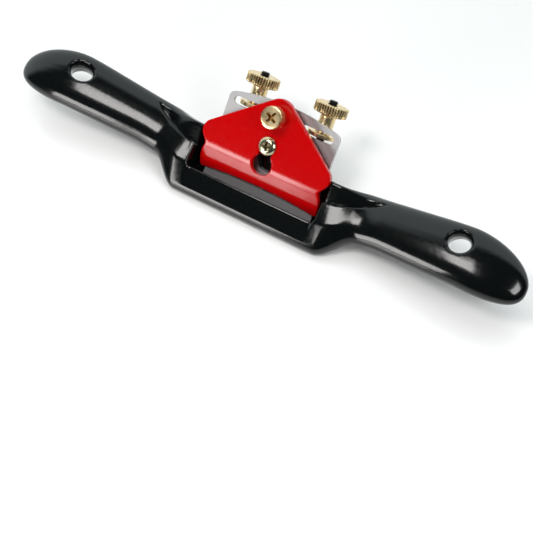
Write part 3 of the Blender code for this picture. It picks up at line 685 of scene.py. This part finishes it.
def make_blade(surface):
    """The cutter, bevelled on the side that lies on the bed, with eased rims."""
    radius = SCREW_SLOT_WIDTH / 2
    screw_slot = arc((0, SCREW_SLOT_HIGH_S), radius, 0, 180, 25)
    screw_slot += arc((0, SCREW_SLOT_LOW_S), radius, 180, 360, 25)
    loops = [blade_outline(), screw_slot]
    end = ADJUST_SLOT_WIDTH / 2
    run = ADJUST_SLOT_LENGTH / 2 - end
    for side in (-1, 1):
        x = side * STUD_X
        adjust_slot = arc((x + run, ADJUST_SLOT_S), end, -90, 90, 21)
        adjust_slot += arc((x - run, ADJUST_SLOT_S), end, 90, 270, 21)
        loops.append(adjust_slot)
    body = new_object("cutter", plate("cutter", loops, -BLADE_THICKNESS, 0, BED))
    land = 0.1 * MM
    wedge_run = 3 * MM
    rise = math.tan(BEVEL_ANGLE)
    depth = -land - 2 * wedge_run * rise
    wedge = [(BLADE_EDGE_S - wedge_run, -land + wedge_run * rise), (BLADE_EDGE_S - wedge_run, depth),
             (BLADE_EDGE_S + 2 * wedge_run, depth)]
    cut(body, across("wedge", wedge, BLADE_WIDTH, BED))
    ease = body.modifiers.new("ease", "BEVEL")
    ease.width = 0.14 * MM
    ease.segments = 2
    ease.limit_method = "ANGLE"
    ease.angle_limit = math.radians(50)
    bake_modifiers(body)
    return finish_piece(body, surface, "blade", "blade", 12)


# ---------------------------------------------------------------- lever cap
def cap_outline():
    """Round apex, ears, waist and arched foot."""
    apex_s = CAP_APEX_S - CAP_APEX_RADIUS
    slope = math.degrees(math.atan2(CAP_EAR_X, apex_s - CAP_EAR_S))
    right = [(0, CAP_APEX_S)]
    right += arc((0, apex_s), CAP_APEX_RADIUS, 82, slope, 8)
    right += arc((CAP_EAR_X, CAP_EAR_S), CAP_EAR_RADIUS, slope, -38, 14)
    right += [(x * MM, s * MM) for x, s in CAP_SIDE]
    count = 10
    for index in range(count):
        share = 1 - index / count
        right.append((CAP_FOOT_X * share, CAP_FOOT_S + CAP_FOOT_RISE * (1 - share**2)))
    return right + [(0, CAP_FOOT_S + CAP_FOOT_RISE)] + [(-x, s) for x, s in reversed(right[1:])]


def cap_profile():
    """Flat plate, sloping front band and a lip on the cutter, as (s, t)."""
    under = CAP_FACE_T - CAP_THICKNESS
    top_s = CAP_APEX_S + 4 * MM
    band = [(s * MM, t * MM) for s, t in CAP_BAND]
    lip_s = band[-1][0]
    rear = [(lip_s, GAP), (CAP_LIP_REAR_S, GAP), (CAP_UNDER_S, under), (top_s, under)]
    return [(top_s, CAP_FACE_T), *band, *rear]


def make_cap(surface):
    """The red cap, with the soft rims of an enamelled casting."""
    straight = Matrix.Identity(4)
    half_width = 36 * MM            # of the bar the cap is cut from
    beyond = 12 * MM                # cutting bodies reach as far as this over and under the cap
    body = new_object("lever_cap_red", across("cap", cap_profile(), half_width, straight))
    cut(body, prism("shield", cap_outline(), -beyond, beyond, straight), "INTERSECT")
    neck = KEYHOLE_NECK_RADIUS
    opening = math.degrees(math.acos(neck / KEYHOLE_RADIUS))
    keyhole = arc((0, CLAMP_SCREW_S), neck, 0, 180, 17)
    keyhole += arc((0, CLAMP_SCREW_S - CAP_SLIDE), KEYHOLE_RADIUS, 180 - opening, 360 + opening, 33)
    cut(body, prism("keyhole", keyhole, -beyond, beyond, straight))
    bore = Matrix.Translation((0, TENSION_SCREW_S, 0))
    cut(body, cylinder("tension_bore", TENSION_SCREW_RADIUS + GAP, 0, beyond, bore))
    soften(body, CAP_VOXEL, CAP_RELAX_PASSES)
    body.data.transform(BED)
    return finish_piece(body, surface, "lever_cap", "lever_cap")


# ---------------------------------------------------------------- screws, studs and nuts
def cross_tool(arm, width, depth, turn, place):
    """Tapered cross recess, its mouth at local z = 0."""
    half = width / 2
    outline = []
    for quarter in range(4):
        corners = [(arm, -half), (arm + 0.18 * half, 0), (arm, half), (half * 1.15, half * 1.15)]
        spin = Matrix.Rotation(quarter * math.pi / 2 + turn, 2)
        outline += [tuple(spin @ Vector(corner)) for corner in corners]
    rings = []
    for height, size in ((depth, 1.25), (0, 1.0), (-depth, 0.5)):
        rings.append([(x * size, y * size, height) for x, y in outline])
    return loft("cross", rings, place)


def paint_recess_shade(item, s, top, reach):
    """Give the walls and the floor of a cross recess their own darker material as painted shade, and lay the
    screw on the bed.
    """
    axis = Vector((0, s))
    for face in item.data.polygons:
        near = (face.center.xy - axis).length < reach
        if near and top - 2 * MM < face.center.z < top - 0.02 * MM:
            face.material_index = 1
    item.data.transform(BED)


def knurl(teeth):
    """Straight flutes with narrow grooves."""
    def wave(angle, height):
        crest = 0.5 + 0.5 * math.cos(teeth * angle)
        return 1 - crest**0.6
    return wave


def thread(pitch):
    """A helical V groove."""
    def wave(angle, height):
        turn = (height / pitch - angle / TAU) % 1
        return abs(2 * turn - 1)
    return wave


def make_cap_screw(surface):
    """Screw through the cap: a flat knurled head with a cross recess."""
    edge = 0.45 * MM
    top, low = TENSION_HEAD_TOP_T, TENSION_HEAD_LOW_T
    radius = TENSION_HEAD_RADIUS
    shank = TENSION_SCREW_RADIUS
    flute = 0.28 * MM
    tip = 0.5 * MM
    rows = [(0, top, 0), (radius - 3 * edge, top, 0), (radius - edge, top, 0)]
    rows += [(radius - 0.3 * edge, top - 0.2 * edge, 0), (radius, top - edge, flute * 0.6)]
    rows += [(radius, top - 1.3 * edge, flute), (radius, low + 1.3 * edge, flute)]
    rows += [(radius, low + edge, flute * 0.6), (radius - edge, low, 0), (shank, low, 0)]
    rows += thread_rows(shank, GAP + tip, low - 0.1 * MM, SCREW_PITCH, 0.35 * MM)
    rows += [(shank - tip, GAP, 0), (0, GAP, 0)]
    teeth = knurl(TENSION_SCREW_TEETH)
    helix = thread(SCREW_PITCH)

    def wave(angle, height):
        return teeth(angle, height) if height > low - 0.05 * MM else helix(angle, height)

    place = Matrix.Translation((0, TENSION_SCREW_S, 0))
    body = new_object("cap_clamp_screw", lathe("cap_screw", rows, TENSION_SCREW_TEETH * 6, place, wave))
    mouth = Matrix.Translation((0, TENSION_SCREW_S, top))
    cut(body, cross_tool(2.75 * MM, 1.15 * MM, 1.5 * MM, math.radians(-30), mouth))
    finish_piece(body, surface, "cap_screw", "cap_screw", 22)
    paint_recess_shade(body, TENSION_SCREW_S, top, 3 * MM)
    return body


def thread_rows(radius, low, high, pitch, depth):
    """Lathe rows, top to bottom, for a threaded stretch."""
    count = max(int((high - low) / (pitch / 5)), 2)
    return [(radius, high - (high - low) * index / count, depth) for index in range(count + 1)]


def make_retaining_screw(surface):
    """The pan-head screw in the bed."""
    radius = CLAMP_HEAD_RADIUS
    under = CAP_FACE_T + GAP
    top = CLAMP_HEAD_TOP_T
    shank = CLAMP_SCREW_RADIUS
    ease = 0.1 * MM
    tip = 0.5 * MM
    crown_drop = top - under - 0.35 * MM
    rows = []
    count = 10
    for index in range(count + 1):
        share = index / count
        rows.append((radius * share, top - crown_drop * share**5, 0))
    rows += [(radius, under + ease, 0), (radius - ease, under, 0), (shank, under, 0), (shank, -0.5 * MM, 0)]
    rows += thread_rows(shank, CLAMP_TIP_T + tip, -0.6 * MM, SCREW_PITCH, 0.3 * MM)
    rows += [(shank - tip, CLAMP_TIP_T, 0), (0, CLAMP_TIP_T, 0)]
    place = Matrix.Translation((0, CLAMP_SCREW_S, 0))
    body = new_object("cap_retaining_screw", lathe("retaining_screw", rows, 64, place, thread(SCREW_PITCH)))
    mouth = Matrix.Translation((0, CLAMP_SCREW_S, top))
    cut(body, cross_tool(2.0 * MM, 0.95 * MM, 1.3 * MM, math.radians(12), mouth))
    finish_piece(body, surface, "retaining_screw", "retaining_screw", 22)
    paint_recess_shade(body, CLAMP_SCREW_S, top - 0.12 * MM, 2.3 * MM)
    return body


def make_stud(label, side, surface):
    """A threaded stud fixed in the bed, parallel to it."""
    edge = 0.4 * MM
    thread_low = 30 * MM
    rows = [(0, STUD_TOP_S, 0), (STUD_RADIUS - 1.4 * edge, STUD_TOP_S, 0)]
    rows.append((STUD_RADIUS - 0.4 * edge, STUD_TOP_S - 0.6 * edge, 0))
    rows += thread_rows(STUD_RADIUS, thread_low, STUD_TOP_S - edge, STUD_PITCH, 0.4 * MM)
    rows += [(STUD_RADIUS, thread_low - 0.2 * MM, 0), (STUD_RADIUS, STUD_BOTTOM_S + edge, 0),
             (STUD_RADIUS - edge, STUD_BOTTOM_S, 0), (0, STUD_BOTTOM_S, 0)]
    place = BED @ Matrix.Translation((side * STUD_X, 0, STUD_T)) @ UP_THE_BED
    body = new_object("stud_" + label, lathe("stud", rows, 24, place, thread(STUD_PITCH)))
    return finish_piece(body, surface, "frame", "adjuster_stud_" + label, 60)


def make_nut(label, side, surface):
    """Knurled head, neck and the collar that runs in a slot of the cutter."""
    bore = NUT_BORE_RADIUS
    high, low = NUT_HEAD_HIGH_S, NUT_HEAD_LOW_S
    radius = NUT_HEAD_RADIUS
    edge = 0.5 * MM
    flute = 0.55 * MM
    hollow = radius - 1.6 * MM
    hollow_depth = 0.2 * MM
    rim = 0.05 * MM
    rows = [(bore, high - 0.45 * MM, 0), (bore + 0.3 * MM, high - hollow_depth, 0)]
    rows += [(hollow - hollow_depth, high - hollow_depth, 0), (hollow, high, 0)]
    rows += [(radius - edge - 0.25 * MM, high, 0), (radius - edge, high - rim, 0)]
    rows += [(radius, high - edge, flute * 0.55), (radius, high - 1.5 * edge, flute)]
    rows += [(radius, low + 1.5 * edge, flute), (radius, low + edge, flute * 0.55)]
    rows += [(radius - edge, low + rim, 0), (radius - 2 * edge, low, 0)]
    fillet_width = 1.3 * MM
    fillet_height = 1.6 * MM
    rows.append((NECK_RADIUS + fillet_width, low, 0))
    for outward, upward in arc((0, 0), 1.0, 90, 180, 7):
        rows.append((NECK_RADIUS + fillet_width * (1 + outward), low - fillet_height * (1 - upward), 0))
    ease = 0.25 * MM
    rows += [(NECK_RADIUS, COLLAR_HIGH_S + 0.2 * MM, 0), (NECK_RADIUS + 0.2 * MM, COLLAR_HIGH_S, 0),
             (COLLAR_RADIUS - ease, COLLAR_HIGH_S, 0), (COLLAR_RADIUS, COLLAR_HIGH_S - ease, 0),
             (COLLAR_RADIUS, COLLAR_LOW_S + ease, 0), (COLLAR_RADIUS - ease, COLLAR_LOW_S, 0),
             (bore + 0.3 * MM, COLLAR_LOW_S, 0), (bore, COLLAR_LOW_S + 0.3 * MM, 0)]
    rows.append(rows[0])
    place = BED @ Matrix.Translation((side * STUD_X, 0, STUD_T)) @ UP_THE_BED
    body = new_object("nut_" + label, lathe("nut", rows, NUT_TEETH * 8, place, knurl(NUT_TEETH)))
    return finish_piece(body, surface, "adjuster_nut_" + label, "adjuster_nut_" + label, 30)


# ---------------------------------------------------------------- room, light and camera
def soft_box(name, place, target, size, radiance, colour=(1, 1, 1)):
    """A rectangular soft light that looks at a point, given by the brightness of its face."""
    data = bpy.data.lights.new(name, "AREA")
    data.shape = "RECTANGLE"
    data.size, data.size_y = size
    data.energy = 4 * size[0] * size[1] * radiance
    data.color = colour
    lamp = new_object(name, data)
    lamp.location = place
    lamp.rotation_euler = (Vector(target) - Vector(place)).to_track_quat("-Z", "Y").to_euler()
    lamp.visible_camera = False
    return lamp


FLOOR_HALF = 4.0                    # metres
FLOOR_DROP = 0.02 * MM              # under the sole, so that the two faces never share a plane
BACKDROP_FACING = (-0.45, 0.88, -0.15)     # direction of the white side, behind the tool and to its left
BACKDROP_EDGE = 0.22                # cosine to that direction from which on the world is fully white


def make_room():
    """Pale floor under a world that is white behind and to the left, and dark on every other side."""
    corners = [(x * FLOOR_HALF, y * FLOOR_HALF, -FLOOR_DROP) for x, y in ((-1, -1), (1, -1), (1, 1), (-1, 1))]
    floor = new_object("floor", mesh_data("floor", corners, [(0, 1, 2, 3)]))
    paper = Nodes("floor_sheet")
    paper.link(paper.mix(paper.noise(paper.position(), 8.0), (0.93, 0.93, 0.93), (0.95, 0.95, 0.95)),
               paper.shader.inputs["Base Color"])
    paper.set(Roughness=0.6, Specular_IOR_Level=0.2, Coat_Weight=1.0, Coat_Roughness=0.12)
    floor.data.materials.append(paper.material)
    world = bpy.data.worlds.new("studio")
    bpy.context.scene.world = world
    world.use_nodes = True
    tree = world.node_tree
    background = tree.nodes["Background"]
    coordinates = tree.nodes.new("ShaderNodeTexCoord")
    facing = tree.nodes.new("ShaderNodeVectorMath")
    facing.operation = "DOT_PRODUCT"
    facing.inputs[1].default_value = BACKDROP_FACING
    ramp = tree.nodes.new("ShaderNodeValToRGB")
    tree.links.new(coordinates.outputs["Generated"], facing.inputs[0])
    tree.links.new(facing.outputs["Value"], ramp.inputs["Fac"])
    tree.links.new(ramp.outputs["Color"], background.inputs["Color"])
    ramp.color_ramp.interpolation = "EASE"
    dark, white = ramp.color_ramp.elements
    dark.position = 0.0
    dark.color = (0.03, 0.03, 0.03, 1)
    white.position = BACKDROP_EDGE
    white.color = (0.92, 1.0, 1.0, 1)
    background.inputs["Strength"].default_value = 1.1


CAMERA_PLACE = Vector((183.91, -239.01, 407.63)) * MM     # from the mouth
CAMERA_TURN = (33.338, 3.341, 31.879)                     # about X, Y and Z, in degrees
CAMERA_SENSOR = 36
CAMERA_LENS = 79.67


def make_camera():
    """Camera over the front right of the tool."""
    data = bpy.data.cameras.new("camera")
    data.sensor_width = CAMERA_SENSOR
    data.lens = CAMERA_LENS
    data.clip_start = 10 * MM
    camera = new_object("camera", data)
    turn = Euler([math.radians(angle) for angle in CAMERA_TURN]).to_matrix().to_4x4()
    camera.matrix_world = FROM_MOUTH @ Matrix.Translation(CAMERA_PLACE) @ turn
    bpy.context.scene.camera = camera


def main():
    bpy.context.scene.view_settings.view_transform = "Standard"
    black = enamel("black_enamel_gloss", (0.003, 0.0042, 0.0044), (0.002, 0.003, 0.0032), 0.13, 0.00006)
    red = enamel("red_enamel_gloss", (0.56, 0.0, 0.001), (0.50, 0.0, 0.001), 0.13, 0.00002)
    sole = ground_steel("ground_iron", False)
    steel = ground_steel("ground_cutter", True)
    # The last colour of each turned metal is the painted shade in its knurl or thread grooves.
    brass = turned_metal("turned_brass", (0.86, 0.69, 0.41), (0.78, 0.60, 0.32), 0.28, (0.30, 0.19, 0.07))
    # Darker brass for the walls and floor of the cap screw's cross recess: painted shade.
    painted_shade_brass = turned_metal("brass_recess_painted_shade", (0.42, 0.24, 0.08), (0.34, 0.18, 0.06), 0.4, (0.2, 0.1, 0.04))
    zinc = turned_metal("zinc_plate", (0.74, 0.70, 0.48), (0.60, 0.54, 0.32), 0.22, (0.3, 0.26, 0.12))
    # Darker zinc for the walls and floor of the retaining screw's cross recess: painted shade.
    painted_shade_zinc = turned_metal("zinc_recess_painted_shade", (0.34, 0.28, 0.12), (0.22, 0.18, 0.08), 0.3, (0.2, 0.16, 0.06))
    dark = turned_metal("black_oxide", (0.045, 0.045, 0.048), (0.02, 0.02, 0.022), 0.35, (0.01, 0.01, 0.01))
    make_casting([black, sole])
    make_blade(steel)
    make_cap(red)
    make_cap_screw([brass, painted_shade_brass])
    make_retaining_screw([zinc, painted_shade_zinc])
    for side, label in ((-1, "left"), (1, "right")):
        make_stud(label, side, dark)
        make_nut(label, side, brass)
    make_room()
    make_camera()
    soft_box("upper_box", (-0.11, -0.19, 0.5), (-0.11, -0.19, 0), (0.21, 0.17), 9, (1, 0.98, 0.96))
    soft_box("front_box", (-0.235, -0.45, 0.12), (-0.235, 0, 0.12), (0.2, 0.2), 7.5, (1, 0.98, 0.96))
    soft_box("right_box", (0.5, -0.12, 0.42), (0, 0, 0), (0.26, 0.16), 7)
    fill = soft_box("fill", (0.15, 0.15, 0.9), (0, 0, 0), (0.8, 0.8), 0.95)
    fill.visible_glossy = False


main()
